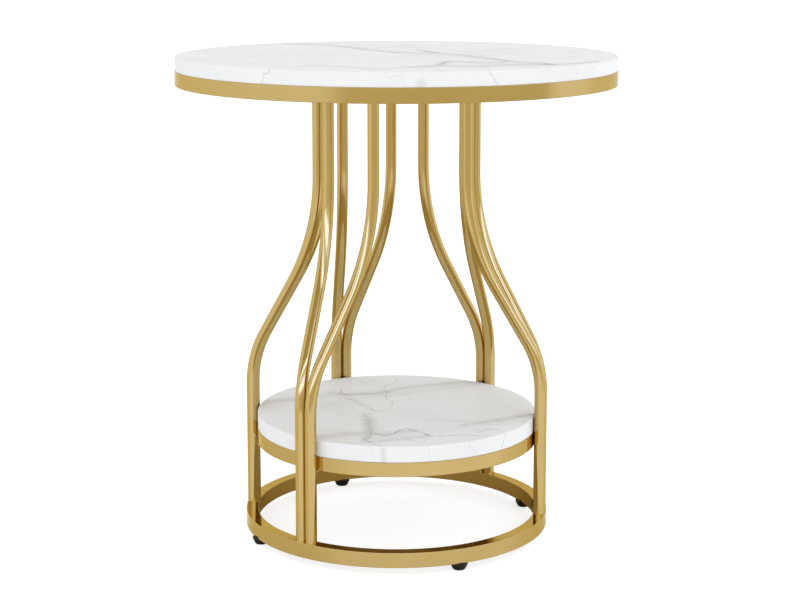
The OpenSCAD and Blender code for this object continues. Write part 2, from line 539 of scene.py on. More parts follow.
# Strokes of the marble, in millimetres seen from above: how far one reaches to either side,
# its strength, then the points that it runs through. The rim lies flat beyond the top face.
TOP_VEINS = (
    (9.0, 0.75, (-48, 231), (-30, 200), (-12, 180), (-3, 130), (2, 78), (15, 20), (52, 2)),
    (9.0, 0.60, (-4, 153), (15, 98), (43, 116), (76, 143), (78, 95)),
    (8.0, 0.85, (55, 63), (51, 24), (52, 0)),
    (7.0, 0.80, (52, 0), (61, -27), (69, -85), (71, -112), (65, -148)),
    (7.0, 0.85, (65, -148), (76, -157), (88, -168), (92, -184), (84, -206)),
    (6.0, 1.00, (80, -203), (86, -208)),
    (9.0, 0.80, (84, -206), (120, -200), (155, -184)),
    (6.0, 0.90, (-28, -166), (-20, -158), (1, -126), (14, -114)),
    (8.0, 0.85, (14, -122), (23, -142), (31, -159), (46, -161), (65, -148)),
    (8.0, 0.65, (-24, -167), (-9, -194), (3, -202), (21, -190), (34, -190)),
    (8.0, 0.55, (34, -190), (44, -206), (58, -214), (82, -206)),
    (8.0, 0.65, (-169, -122), (-140, -114), (-118, -150), (-106, -192), (-74, -176), (-28, -166)),
    (8.0, 0.50, (96, -4), (132, 18), (166, 36), (222, 60)),
    (10.0, 0.45, (189, -52), (206, -45), (212, -57)),
    (8.0, 0.35, (-195, 13), (-163, 27), (-116, 33)),
    (1.3, 0.35, (-249, 6), (-262, 3)),
    (1.4, 0.40, (-242, -62), (-250, -82)),
    (1.8, 0.80, (-203, -143), (-208, -144), (-213, -140), (-224, -142)),
    (1.4, 0.60, (-101, -228), (-100, -232), (-109, -231)),
    (1.4, 0.60, (-100, -232), (-98, -236), (-100, -245)),
    (1.4, 0.40, (-77, -237), (-78, -253)),
    (1.8, 0.70, (-9, -249), (-4, -256), (1, -264)),
    (1.4, 0.30, (61, -242), (66, -256)),
    (1.5, 0.45, (63, -242), (82, -251)),
    (1.5, 0.60, (144, -204), (138, -215), (141, -224)),
    (1.8, 0.60, (240, 66), (254, 74)),
    (1.6, 0.50, (152, 198), (160, 212)),
    (1.8, 0.55, (-30, 248), (-36, 262)),
)
TOP_BANDS = (
    (34.0, 0.45, (20, 175), (60, 120), (90, 20), (80, -60)),
    (20.0, 0.75, (10, 30), (55, -60), (72, -150), (84, -206)),
    (26.0, 0.60, (-60, -178), (10, -176), (80, -192)),
    (18.0, 0.60, (-150, 225), (-60, 215), (40, 205)),
    (30.0, 0.35, (90, -10), (170, 40), (230, 58)),
    (16.0, 0.45, (190, -60), (215, -40)),
    (30.0, 0.30, (-215, -60), (-150, -110), (-90, -190)),
    (26.0, 0.30, (-210, 110), (-150, 20), (-160, -60)),
    (12.0, 0.85, (-82, -248), (-84, -264)),
)
TOP_SMOKE = (
    (20.0, 0.80, (50, 30), (65, -56), (71, -120)),
    (26.0, 1.00, (50, -184), (84, -196)),
    (22.0, 0.95, (10, -122), (30, -130), (46, -146)),
    (22.0, 0.85, (-60, -177), (-26, -166), (4, -124)),
    (24.0, 0.85, (-18, -180), (-2, -196), (24, -194)),
    (20.0, 0.70, (-48, 225), (-12, 180), (2, 78), (40, 8)),
)
SHELF_VEINS = (
    (2.2, 0.70, (59, 127), (50, 115), (31, 102), (24, 90), (20, 74), (7, 48), (9, 31)),
    (2.6, 0.65, (9, 31), (2, 17), (-11, 3), (-29, -8), (-46, -12)),
    (5.0, 0.70, (-24, 109), (-31, 93), (-29, 78), (-6, 75), (17, 70)),
    (2.0, 0.55, (-36, 75), (-28, 37), (-28, 5), (-30, -8)),
    (3.0, 0.50, (-46, -12), (-50, -30), (-62, -64), (-68, -84)),
    (2.6, 0.95, (-68, -84), (-76, -100), (-86, -106), (-84, -130), (-80, -136)),
    (3.0, 0.95, (-66, -86), (-61, -103), (-46, -99), (-36, -88), (-25, -86), (-17, -107), (-14, -126)),
    (2.6, 0.90, (-14, -126), (3, -130), (21, -133), (36, -144)),
    (3.5, 0.60, (-44, -116), (-36, -142), (-18, -133)),
    (2.2, 0.80, (39, -135), (47, -127), (55, -124), (66, -132)),
    (3.5, 0.60, (66, -105), (78, -113)),
    (3.0, 0.80, (108, -92), (133, -88)),
    (3.0, 0.50, (-81, 22), (-71, 13), (-62, -13)),
    (3.0, 0.45, (-142, 20), (-139, 2), (-130, -4)),
    (3.4, 0.55, (-112, -104), (-105, -112)),
    (1.3, 0.50, (-163, -14), (-174, -28)),
    (1.5, 0.55, (-91, -133), (-92, -140), (-96, -153)),
    (1.4, 0.55, (-34, -158), (-33, -166), (-34, -178)),
    (1.3, 0.30, (13, -163), (14, -178)),
    (1.5, 0.60, (14, -162), (28, -177)),
    (1.6, 0.75, (70, -147), (66, -159), (68, -168)),
    (1.5, 0.60, (147, 68), (162, 78)),
    (1.5, 0.60, (-60, 150), (-68, 166)),
)
# The rows that run across the shelf from beside a pair of tubes, at that pair's depth, are painted
# shadows of the tubes; the others are grey bands in the stone.
SHELF_BANDS_AND_SHADOWS = (
    (16.0, 0.70, (20, 79), (59, 84), (90, 84)),
    (15.0, 0.90, (96, 83), (128, 80), (142, 70)),
    (22.0, 0.45, (10, 56), (80, 60), (136, 64)),
    (14.0, 0.80, (40, -99), (71, -95), (117, -90), (131, -88)),
    (14.0, 1.00, (-134, 84), (-124, 91), (-95, 89)),
    (26.0, 0.50, (-92, 88), (-54, 86), (-10, 84)),
    (14.0, 1.00, (-130, -79), (-93, -78), (-78, -84)),
    (16.0, 0.70, (-76, -92), (-66, -76), (-50, -30)),
    (26.0, 0.45, (10, -60), (50, -84), (84, -104)),
    (30.0, 0.35, (-76, 40), (-30, 60), (8, 64)),
    (20.0, 0.50, (-70, -106), (-40, -116), (-14, -118)),
    (8.0, 0.80, (-81, -144), (-87, -160)),
)
SHELF_SMOKE = (
    (14.0, 0.90, (-40, 96), (-28, 80), (-6, 76), (22, 72)),
    (10.0, 0.75, (-32, 60), (-28, 0), (-20, -6)),
    (15.0, 0.90, (-44, -10), (-52, -40), (-66, -80), (-86, -110)),
    (13.0, 0.95, (-66, -90), (-46, -98), (-20, -94)),
    (14.0, 0.80, (-90, -116), (-60, -122), (-20, -122)),
)


# Times this, a vector keeps only its level part
LEVEL = (1.0, 1.0, 0.0)


def drift(net, place, scale, detail, roughness, width):
    """A level shift that changes over the surface, by half the width either way at most."""
    noise = net.noise(place, scale, detail, roughness, output="Color")
    spread = (width, width, 0.0)
    return net.vector("MULTIPLY_ADD", noise, spread, (-width / 2, -width / 2, 0.0))


def strokes(net, place, runs):
    """How strongly a point lies in one of the strokes, from 0 to 1."""
    nearest = None
    for reach, strength, *points in runs:
        for start, end in zip(points, points[1:]):
            run = Vector((*end, 0)) - Vector((*start, 0))
            from_start = net.vector("SUBTRACT", place, (*start, 0.0))
            along = net.vector("DOT_PRODUCT", from_start, tuple(run / run.length_squared))
            values = {0: along, 1: 0.0, 2: 1.0}
            along = net.add("ShaderNodeClamp", {"clamp_type": "MINMAX"}, values)
            aside = net.vector("SUBTRACT", from_start, net.scaled(tuple(run), along))
            distance = net.vector("LENGTH", aside)
            faded = net.math("MULTIPLY_ADD", distance, 1 / reach, 1 - strength)
            nearest = faded if nearest is None else nearest.math("MINIMUM", faded)
    return net.ramped(nearest, 1.0, 0.0)


def marble_material(name, node, pattern, backing_name):
    """White marble-look laminate with veins, smoke round them and soft bands.

    The rim is laid out flat beyond the top face, so that a vein runs on over the edge. On the shelf,
    some of the soft bands are painted shadows of the tubes."""
    look = bpy.context.scene.side_table_boards
    backing_colour = getattr(look, backing_name)
    veins, bands_and_shadows, clouds = pattern
    underside, surface = (corner.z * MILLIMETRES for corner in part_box(node))
    net = new_material(name, look.ground_colour)
    place = object_place(net)
    height = net.parts(place)[2]
    top_face = net.ramped(height, surface - 0.9, surface - 0.3)
    flat = net.vector("MULTIPLY", place, LEVEL)
    past_rim = net.scaled(net.vector("NORMALIZE", flat), surface - height)
    flat = net.vector("ADD", flat, past_rim)
    drifted = net.vector("ADD", flat, drift(net, place, 0.035, 3.0, 0.55, 5.0))
    shaken = net.vector("ADD", drifted, drift(net, place, 0.2, 4.0, 0.65, 8.0))

    breaks = net.ramped(net.noise(place, 0.06, 4.0, 0.65), 0.3, 0.58)
    vein = strokes(net, shaken, veins) * (0.45 + 0.55 * breaks)
    cloud = net.ramped(net.noise(place, 0.028, 4.0, 0.6), 0.3, 0.7)
    # On the shelf this mask holds painted shadows of the tubes as well as grey bands in the stone.
    band_and_shadow = strokes(net, drifted, bands_and_shadows) * (0.5 + 0.5 * cloud)
    mottle = net.ramped(net.noise(shaken, 0.13, 4.0, 0.7), 0.36, 0.64)
    smoke = strokes(net, shaken, clouds) * (0.25 + 0.75 * mottle)

    ridge = net.math("ABSOLUTE", net.noise(drifted, 0.018, 5.0, 0.6) - 0.5)
    hair = net.ramped(ridge, 0.012, 0.0) * net.ramped(cloud, 0.35, 0.8)
    mist = net.ramped(net.noise(drifted, 0.011, 3.0, 0.5), 0.45, 0.75)

    ground = net.colour(0.16 * mist, look.ground_colour, look.band_and_shadow_colour)
    ground = net.colour(0.85 * band_and_shadow, ground, look.band_and_shadow_colour)
    stone = net.colour((0.12 * hair + 0.42 * smoke) * top_face, ground, look.vein_colour)
    stone = net.colour(0.66 * vein, stone, look.vein_colour)
    # The underside's colour; on the shelf it is darkened as painted shade for the gold below to
    # mirror.
    backing = net.ramped(height, underside + 0.12, underside + 0.03)
    grain = net.noise(place, 1.6, 2.0)
    underside_tone_and_shade = net.colour(grain, backing_colour, tuple(0.94 * c for c in backing_colour))

    satin = 0.32 + 0.08 * net.noise(place, 0.05, 3.0) + 0.05 * vein + 0.3 * backing
    ripple = net.noise(place, 0.35, 2.0) * 0.6 + 0.4 * grain
    values = {
        "Base Color": net.colour(backing, stone, underside_tone_and_shade),
        "Roughness": satin,
        "IOR": 1.48,
        "Specular IOR Level": 0.03,
        "Normal": net.bump(ripple, 0.02, 0.0002),
    }
    finish_material(net, values)


def gold_material(name, dulling):
    """Polished gold plating; dulling multiplies its roughness."""
    look = bpy.context.scene.side_table_finish
    net = new_material(name, look.gold)
    place = object_place(net)
    broad = net.noise(place, 0.012, 3.0, 0.5)
    fine = net.noise(place, 0.5, 3.0, 0.6)
    stretched = net.vector("MULTIPLY", place, (1.0, 1.0, 0.05))
    streaks = net.noise(stretched, 1.2, 2.0, 0.6)
    deep = tuple(c * f for c, f in zip(look.gold, (0.96, 0.95, 0.9)))
    tone = net.colour(net.ramped(broad, 0.3, 0.7), look.gold, deep)
    roughness = look.gold_roughness * dulling * (0.8 + 0.35 * broad)
    roughness = roughness + 0.02 * net.ramped(fine, 0.45, 0.8)
    ripple = 0.6 * fine + 0.4 * streaks
    values = {
        "Base Color": tone,
        "Metallic": 1.0,
        "Roughness": roughness,
        "Specular Tint": look.gold_edge,
        "Normal": net.bump(ripple, 0.006, 0.0002),
    }
    finish_material(net, values)


def zinc_material(name):
    """Bright zinc plating with fine tool marks."""
    look = bpy.context.scene.side_table_finish
    net = new_material(name, look.zinc)
    place = object_place(net)
    spangle = net.add("ShaderNodeTexVoronoi", None, {"Vector": place, "Scale": 0.9}, "Color")
    marks = net.noise(net.vector("MULTIPLY", place, (1.0, 1.0, 7.0)), 1.5, 3.0, 0.6)
    dull = tuple(c * 0.82 for c in look.zinc)
    tone = net.colour(0.4 * marks, look.zinc, dull)
    tone = net.colour(0.06, tone, spangle, "OVERLAY")
    values = {
        "Base Color": tone,
        "Metallic": 1.0,
        "Roughness": 0.24 + 0.18 * marks,
        "Normal": net.bump(marks, 0.08, 0.0001),
    }
    finish_material(net, values)


def plastic_material(name):
    """Black moulded plastic with a fine grained skin."""
    look = bpy.context.scene.side_table_feet
    net = new_material(name, look.colour)
    place = object_place(net)
    skin = net.noise(place, 3.0, 3.0, 0.65)
    scuff = net.ramped(net.noise(place, 0.4, 4.0, 0.7), 0.5, 0.75)
    rubbed = tuple(c * 2 + 0.003 for c in look.colour)
    values = {
        "Base Color": net.colour(0.35 * scuff, look.colour, rubbed),
        "Roughness": 0.3 + 0.1 * skin + 0.08 * scuff,
        "Specular IOR Level": 0.35,
        "Normal": net.bump(skin, 0.2, 0.0001),
    }
    finish_material(net, values)


TOP_PATTERN = (TOP_VEINS, TOP_BANDS, TOP_SMOKE)
SHELF_PATTERN = (SHELF_VEINS, SHELF_BANDS_AND_SHADOWS, SHELF_SMOKE)
FINISHES = {
    "gold_polished": (gold_material, 1.0),
    "gold_under_boards": (gold_material, 2.2),
    "zinc_plate": (zinc_material,),
    "moulded_plastic": (plastic_material,),
    "marble_top": (marble_material, "top_board", TOP_PATTERN, "top_backing_colour"),
    "marble_shelf": (marble_material, "shelf_board", SHELF_PATTERN, "shelf_backing_colour"),
}


def material(name):
    """A finish by name, made the first time it is asked for."""
    if name not in bpy.data.materials:
        maker, *details = FINISHES[name]
        maker(name, *details)
    return bpy.data.materials[name]


# Solids of revolution

# The bend from which an edge of a bored piece shows as sharp
SHARP_BORE = math.radians(40)


def rounded(corners, steps=6, guard=0.00012):
    """Outline through (radius, height, rounding) corners, with its corners rounded.

    A guard point beside each rounding keeps the flat beyond it flat in its shading."""
    outline = []
    for number, (radius, height, rounding) in enumerate(corners):
        corner = Vector((radius, height))
        if not rounding:
            outline.append(corner)
            continue
        back = (Vector(corners[number - 1][:2]) - corner).normalized()
        ahead = (Vector(corners[(number + 1) % len(corners)][:2]) - corner).normalized()
        half = back.angle(ahead) / 2
        reach = rounding / math.tan(half)
        centre = corner + (back + ahead).normalized() * (rounding / math.sin(half))
        first = corner + back * reach - centre
        sweep = (math.pi - 2 * half) * (1 if back.cross(ahead) < 0 else -1)
        outline.append(corner + back * (reach + guard))
        for step in range(steps + 1):
            angle = sweep * step / steps
            across = first.x * math.cos(angle) - first.y * math.sin(angle)
            up = first.x * math.sin(angle) + first.y * math.cos(angle)
            outline.append(centre + Vector((across, up)))
        outline.append(corner + ahead * (reach + guard))
    return outline


def turned_piece(name, corners, finish, centre=(0.0, 0.0), segments=256):
    """Closed solid of revolution about an upright axis.

    The corners run anticlockwise in the plane of radius and height. An outline that
    starts and ends on the axis closes in poles, and any other closes in a ring."""
    shell = bmesh.new()
    rings = []
    for radius, height in rounded(corners):
        count = segments if radius > 0 else 1
        ring = []
        for number in range(count):
            angle = 2 * math.pi * number / segments
            x = centre[0] + radius * math.cos(angle)
            y = centre[1] + radius * math.sin(angle)
            ring.append(shell.verts.new((x, y, height)))
        rings.append(ring)
    on_axis = len(rings[0]) == 1
    follows = rings[1:] if on_axis else rings[1:] + rings[:1]
    for ring, following in zip(rings, follows):
        for number in range(segments):
            after = (number + 1) % segments
            face = [
                ring[number % len(ring)],
                ring[after % len(ring)],
                following[after % len(following)],
                following[number % len(following)],
            ]
            shell.faces.new(sorted(set(face), key=face.index))
    mesh = bpy.data.meshes.new(name)
    shell.to_mesh(mesh)
    shell.free()
    mesh.shade_smooth()
    mesh.materials.append(material(finish))
    piece = bpy.data.objects.new(name, mesh)
    bpy.context.scene.collection.objects.link(piece)
    return piece


def ring_piece(name, node, finish, edge, segments=256):
    """A rectangular ring with rounded edges on the place of a frame node."""
    inner, outer, low, high = ring_sizes(node)
    corners = [(inner, low, edge), (outer, low, edge), (outer, high, edge), (inner, high, edge)]
    return turned_piece(name, corners, finish, segments=segments)


def bore(piece, centres, radius, low, high):
    """Cuts upright holes into a piece, between two heights."""
    corners = [(0, low, 0), (radius, low, 0), (radius, high, 0), (0, high, 0)]
    cutters = [turned_piece("cutter", corners, "zinc_plate", place, 48) for place in centres]
    for cutter in cutters:
        modifier = piece.modifiers.new("Hole", "BOOLEAN")
        modifier.operation = "DIFFERENCE"
        modifier.solver = "EXACT"
        modifier.object = cutter
    graph = bpy.context.evaluated_depsgraph_get()
    plain = piece.data
    piece.data = bpy.data.meshes.new_from_object(piece.evaluated_get(graph), depsgraph=graph)
    piece.modifiers.clear()
    piece.data.name = plain.name
    piece.data.set_sharp_from_angle(angle=SHARP_BORE)
    bpy.data.meshes.remove(plain)
    for cutter in cutters:
        bpy.data.meshes.remove(cutter.data)


def settle(piece, body, nodes):
    """Puts a finished piece on its body in place of its frame nodes."""
    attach(piece, body)
    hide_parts(*nodes)


# Geometry trees

# The bend, in radians, from which an edge shows as sharp
SHARP_EDGE = 0.6

# Height of a board screw's head, as a share of its thread
SCREW_HEAD = 0.6

# How finely the tubes are cut: steps in a bend, and sides of the section
BEND_STEPS = 28
TUBE_SIDES = 48


def geometry_net(name, sizes):
    """An empty geometry tree with named sizes; gives its net and its inputs."""
    tree = bpy.data.node_groups.new(name, "GeometryNodeTree")
    tree.interface.new_socket("Points", in_out="INPUT", socket_type="NodeSocketGeometry")
    for size, kind in sizes.items():
        tree.interface.new_socket(size, in_out="INPUT", socket_type="NodeSocket" + kind)
    tree.interface.new_socket("Mesh", in_out="OUTPUT", socket_type="NodeSocketGeometry")
    net = Net(tree)
    return net, net.outputs("NodeGroupInput")


def placed_copies(net, inputs, shape):
    """Ends a tree: copies of the shape on the points, turned by each point's turn."""
    turn = net.add("GeometryNodeInputNamedAttribute", {"data_type": "FLOAT"}, {0: "turn"})
    values = {"Points": inputs["Points"], "Instance": shape, "Rotation": net.joined(z=turn)}
    copies = net.add("GeometryNodeInstanceOnPoints", None, values)
    whole = net.add("GeometryNodeRealizeInstances", None, {0: copies})
    bends = net.add("GeometryNodeInputMeshEdgeAngle")
    values = {0: whole, 1: bends.math("LESS_THAN", SHARP_EDGE), 2: True}
    smooth = net.add("GeometryNodeSetShadeSmooth", {"domain": "EDGE"}, values)
    painted = net.add("GeometryNodeSetMaterial", None, {0: smooth, 2: inputs["Finish"]})
    net.add("NodeGroupOutput", None, {0: painted})


def grown_piece(name, net, points, turns, values):
    """Runs a tree on points and keeps the plain mesh that it makes."""
    mesh = bpy.data.meshes.new(name + "_points")
    mesh.from_pydata(points, [], [])
    mesh.attributes.new("turn", "FLOAT", "POINT").data.foreach_set("value", turns)
    piece = bpy.data.objects.new(name, mesh)
    bpy.context.scene.collection.objects.link(piece)
    modifier = piece.modifiers.new("Build", "NODES")
    modifier.node_group = net.tree
    for item in net.tree.interface.items_tree:
        if item.in_out == "INPUT" and item.name in values:
            modifier[item.identifier] = values[item.name]
    graph = bpy.context.evaluated_depsgraph_get()
    built = bpy.data.meshes.new_from_object(piece.evaluated_get(graph), depsgraph=graph)
    if not built.polygons:
        raise RuntimeError(f"{name}: its geometry tree made nothing")
    piece.modifiers.remove(modifier)
    built.name = name
    piece.data = built
    bpy.data.meshes.remove(mesh)
    return piece


def switched(net, kind, index, choices):
    """One of the choices by index."""
    values = {0: index} | {number + 1: choice for number, choice in enumerate(choices)}
    return net.add("GeometryNodeIndexSwitch", {"data_type": kind, "choices": len(choices)}, values)


def point_line(net, count):
    """A line of so many points, to be placed one by one."""
    line = net.add("GeometryNodeCurvePrimitiveLine")
    return net.add("GeometryNodeResampleCurve", {"mode": "COUNT"}, {0: line, "Count": count})


def tube_tree():
    """S-bent tube: a path of four corners, its two bends filleted, and a round section."""
    sizes = {
        "Diameter": "Float",
        "Lower Straight": "Float",
        "Lower Bend": "Float",
        "Upper Bend": "Float",
        "Lean": "Float",
        "Reach": "Float",
        "Rise": "Float",
        "Finish": "Material",
    }
    net, inputs = geometry_net("bent_tubes", sizes)
    half_lean = (inputs["Lean"] / 2).math("TANGENT")
    first = inputs["Lower Straight"] + inputs["Lower Bend"] * half_lean
    second = first + inputs["Reach"] / inputs["Lean"].math("TANGENT")
    index = net.add("GeometryNodeInputIndex")
    corners = [
        net.joined(),
        net.joined(z=first),
        net.joined(x=inputs["Reach"], z=second),
        net.joined(x=inputs["Reach"], z=inputs["Rise"]),
    ]
    line = point_line(net, len(corners))
    values = {0: line, "Position": switched(net, "VECTOR", index, corners)}
    path = net.add("GeometryNodeSetPosition", None, values)
    radii = switched(net, "FLOAT", index, [0.0, inputs["Lower Bend"], inputs["Upper Bend"], 0.0])
    values = {0: path, "Count": BEND_STEPS, "Radius": radii, "Limit Radius": True}
    path = net.add("GeometryNodeFilletCurve", {"mode": "POLY"}, values)
    values = {"Resolution": TUBE_SIDES, "Radius": inputs["Diameter"] / 2}
    section = net.add("GeometryNodeCurvePrimitiveCircle", {"mode": "RADIUS"}, values)
    values = {"Curve": path, "Profile Curve": section, "Fill Caps": True}
    placed_copies(net, inputs, net.add("GeometryNodeCurveToMesh", None, values))
    return net


def lathe(net, outline, segments):
    """A solid turned about the z axis through (radius, height) points from its foot up."""
    line = point_line(net, len(outline))
    index = net.add("GeometryNodeInputIndex")
    heights = switched(net, "FLOAT", index, [height for radius, height in outline])
    radii = switched(net, "FLOAT", index, [radius for radius, height in outline])
    values = {0: line, "Position": net.joined(z=heights)}
    line = net.add("GeometryNodeSetPosition", None, values)
    values = {"Resolution": segments, "Radius": 1.0}
    section = net.add("GeometryNodeCurvePrimitiveCircle", {"mode": "RADIUS"}, values)
    values = {"Curve": line, "Profile Curve": section, "Scale": radii, "Fill Caps": True}
    return net.add("GeometryNodeCurveToMesh", None, values)


def cut(net, solid, cutters):
    """The solid less the cutters."""
    settings = {"operation": "DIFFERENCE", "solver": "EXACT"}
    carved = net.add("GeometryNodeMeshBoolean", settings, {0: solid})
    for cutter in cutters:
        net.tree.links.new(cutter.socket, carved.socket.node.inputs[1])
    return carved


def bolt_tree():
    """Button-head bolt with a hexagon socket; its head stands on the point."""
    sizes = {"Thread": "Float", "Length": "Float", "Finish": "Material"}
    net, inputs = geometry_net("button_bolts", sizes)
    thread = inputs["Thread"]
    shank = [
        (thread * 0.38, -inputs["Length"]),
        (thread * 0.5, thread * 0.15 - inputs["Length"]),
        (thread * 0.5, 0.0),
        (thread * 0.875, 0.0),
    ]
    button = ((0.875, 0.08), (0.84, 0.24), (0.74, 0.39), (0.58, 0.5), (0.4, 0.55))
    button = [(thread * across, thread * up) for across, up in button]
    bolt = lathe(net, shank + button, 48)
    values = {"Vertices": 6, "Radius": thread * 0.385, "Depth": thread}
    key = net.add("GeometryNodeMeshCylinder", None, values)
    values = {0: key, "Translation": net.joined(z=thread * 0.72)}
    key = net.add("GeometryNodeTransform", None, values)
    placed_copies(net, inputs, cut(net, bolt, [key]))
    return net


def screw_tree():
    """Pan-head board screw with a cross recess; its head hangs from the point."""
    sizes = {"Thread": "Float", "Length": "Float", "Finish": "Material"}
    net, inputs = geometry_net("board_screws", sizes)
    thread = inputs["Thread"]
    length = inputs["Length"]
    pan = ((0.55, -SCREW_HEAD), (0.78, -0.56), (0.92, -0.42), (0.99, -0.22))
    pan = [(thread * across, thread * up) for across, up in pan]
    shank = [
        (thread, 0.0),
        (thread * 0.5, 0.0),
        (thread * 0.5, length - thread * 0.4),
        (thread * 0.15, length),
    ]
    screw = lathe(net, pan + shank, 36)
    arms = []
    for long_x, long_y in ((1.05, 0.2), (0.2, 1.05)):
        size = net.joined(thread * long_x, thread * long_y, thread * 0.7)
        arm = net.add("GeometryNodeMeshCube", None, {"Size": size})
        values = {0: arm, "Translation": net.joined(z=thread * -SCREW_HEAD)}
        arms.append(net.add("GeometryNodeTransform", None, values))
    placed_copies(net, inputs, cut(net, screw, arms))
    return net


def stud_tree():
    """Threaded rod that rises from the point, its flanks cut by a turning wave.

    The thread's depth and the taper of the ends are shares of the radius."""
    sizes = {"Thread": "Float", "Length": "Float", "Pitch": "Float", "Finish": "Material"}
    net, inputs = geometry_net("foot_studs", sizes)
    thread_depth = 0.19
    end_taper = 0.1
    run_out = inputs["Pitch"] * 1.2
    values = {
        "Vertices": 32,
        "Side Segments": 200,
        "Radius": inputs["Thread"] / 2,
        "Depth": inputs["Length"],
    }
    rod = net.add("GeometryNodeMeshCylinder", None, values)
    values = {0: rod, "Translation": net.joined(z=inputs["Length"] / 2)}
    rod = net.add("GeometryNodeTransform", None, values)
    place = net.add("GeometryNodeInputPosition")
    x, y, height = net.parts(place)
    turn = net.math("ARCTAN2", y, x) / (2 * math.pi)
    wave = (height / inputs["Pitch"] - turn).math("FRACT")
    flank = ((wave - 0.5).math("ABSOLUTE") * 2.6 - 0.15).math("MAXIMUM", 0.0).math("MINIMUM", 1.0)
    ends = net.ramped(height, 0.0, run_out)
    ends = ends.math("MINIMUM", net.ramped(inputs["Length"] - height, 0.0, run_out))
    depth = flank * thread_depth * ends + (1 - ends) * end_taper
    narrowed = net.joined(1 - depth, 1 - depth, 1.0)
    values = {0: rod, "Position": net.vector("MULTIPLY", place, narrowed)}
    placed_copies(net, inputs, net.add("GeometryNodeSetPosition", None, values))
    return net


# Operators

# How far the holes for the foot nuts reach past the ring below and the studs above
HOLE_OVERRUN = 0.001

# Each bolt or screw stands turned by so many degrees more than the one before it
BOLT_TURN = 47
SCREW_TURN = 31

# A foot pad's bevel over the floor, out and up, and its roundings from the floor up
PAD_BEVEL = (0.0012, 0.0014)
PAD_ROUNDINGS = (0.0006, 0.0008, 0.0005, 0.0004)


def add_board(name, node, finish):
    """A round board with rounded edges in place of a frame node."""
    edge = bpy.context.scene.side_table_boards.edge_radius
    radius, low, high = ring_sizes(node)[1:]
    corners = [(0, low, 0), (radius, low, edge), (radius, high, edge), (0, high, 0)]
    piece = turned_piece(name, corners, finish)
    settle(piece, "table", [node])


class SIDETABLE_OT_boards(bpy.types.Operator):
    """Make the marble-look top and shelf"""

    bl_idname = "side_table.boards"
    bl_label = "Boards"

    def execute(self, context):
        add_board("marble_top_board", "top_board", "marble_top")
        add_board("marble_shelf_board", "shelf_board", "marble_shelf")
        return {"FINISHED"}


class SIDETABLE_OT_rings(bpy.types.Operator):
    """Make the three gold rings"""

    bl_idname = "side_table.rings"
    bl_label = "Rings"

    def execute(self, context):
        sizes = context.scene.side_table_rings
        for node in ("top_ring", "shelf_ring", "base_ring"):
            piece = ring_piece("gold_" + node, node, "gold_polished", sizes.edge_radius)
            if node == "base_ring":
                places = [middle_of("foot_stud_" + foot).xy for foot in FEET]
                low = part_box(node)[0].z - HOLE_OVERRUN
                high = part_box("foot_stud_front")[1].z + HOLE_OVERRUN
                bore(piece, places, sizes.nut_hole / 2, low, high)
            settle(piece, "table", [node])
        return {"FINISHED"}


class SIDETABLE_OT_tubes(bpy.types.Operator):
    """Make the ten bent tubes"""

    bl_idname = "side_table.tubes"
    bl_label = "Tubes"

    def execute(self, context):
        sizes = context.scene.side_table_tubes
        turns = []
        for foot, top in zip(FEET_ENDS, TOP_ENDS):
            run = top - foot
            turns.append(math.atan2(run.y, run.x))
        values = {
            "Diameter": sizes.diameter,
            "Lower Straight": sizes.straight,
            "Lower Bend": sizes.lower_bend,
            "Upper Bend": sizes.upper_bend,
            "Lean": sizes.lean,
            "Reach": TUBE_REACH,
            "Rise": TUBE_RISE,
            "Finish": material("gold_polished"),
        }
        piece = grown_piece("gold_tubes", tube_tree(), FEET_ENDS, turns, values)
        settle(piece, "table", LEGS)
        return {"FINISHED"}


class SIDETABLE_OT_hub(bpy.types.Operator):
    """Make the hub plate and finish the bars, tabs and inserts"""

    bl_idname = "side_table.hub"
    bl_label = "Top Frame"

    def execute(self, context):
        edge = context.scene.side_table_rings.hub_edge_radius
        piece = ring_piece("gold_hub_plate", "hub_plate", "gold_under_boards", edge, 192)
        settle(piece, "table", ["hub_plate"])
        for node in [f"top_bar_{bar}" for bar in BARS] + ["shelf_tabs"]:
            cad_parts[node].material_slots[0].material = material("gold_under_boards")
        for node in ("tube_inserts", "foot_nuts"):
            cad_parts[node].material_slots[0].material = material("zinc_plate")
        return {"FINISHED"}


class SIDETABLE_OT_fasteners(bpy.types.Operator):
    """Make the tube bolts and the board screws"""

    bl_idname = "side_table.fasteners"
    bl_label = "Bolts and Screws"

    def execute(self, context):
        sizes = context.scene.side_table_fasteners
        zinc = material("zinc_plate")
        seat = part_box("hub_plate")[1].z
        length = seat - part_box("tube_bolts")[0].z
        points = [Vector((end.x, end.y, seat)) for end in TOP_ENDS]
        values = {"Thread": sizes.bolt_diameter, "Length": length, "Finish": zinc}
        turns = [math.radians(BOLT_TURN * number) for number in range(len(points))]
        piece = grown_piece("tube_bolts_zinc", bolt_tree(), points, turns, values)
        settle(piece, "table", ["tube_bolts"])

        net = screw_tree()
        runs = {
            "top_screws": (sizes.inner_screws, sizes.outer_screws),
            "shelf_screws": (sizes.shelf_screws,),
        }
        for node, radii in runs.items():
            low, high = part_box(node)
            seat = low.z + sizes.screw_diameter * SCREW_HEAD
            points = []
            for radius in radii:
                for azimuth in BARS.values():
                    x, y = facing(azimuth)[:2]
                    points.append((radius * x, radius * y, seat))
            turns = [math.radians(SCREW_TURN * number) for number in range(len(points))]
            values = {"Thread": sizes.screw_diameter, "Length": high.z - seat, "Finish": zinc}
            piece = grown_piece(node + "_zinc", net, points, turns, values)
            settle(piece, "table", [node])
        return {"FINISHED"}


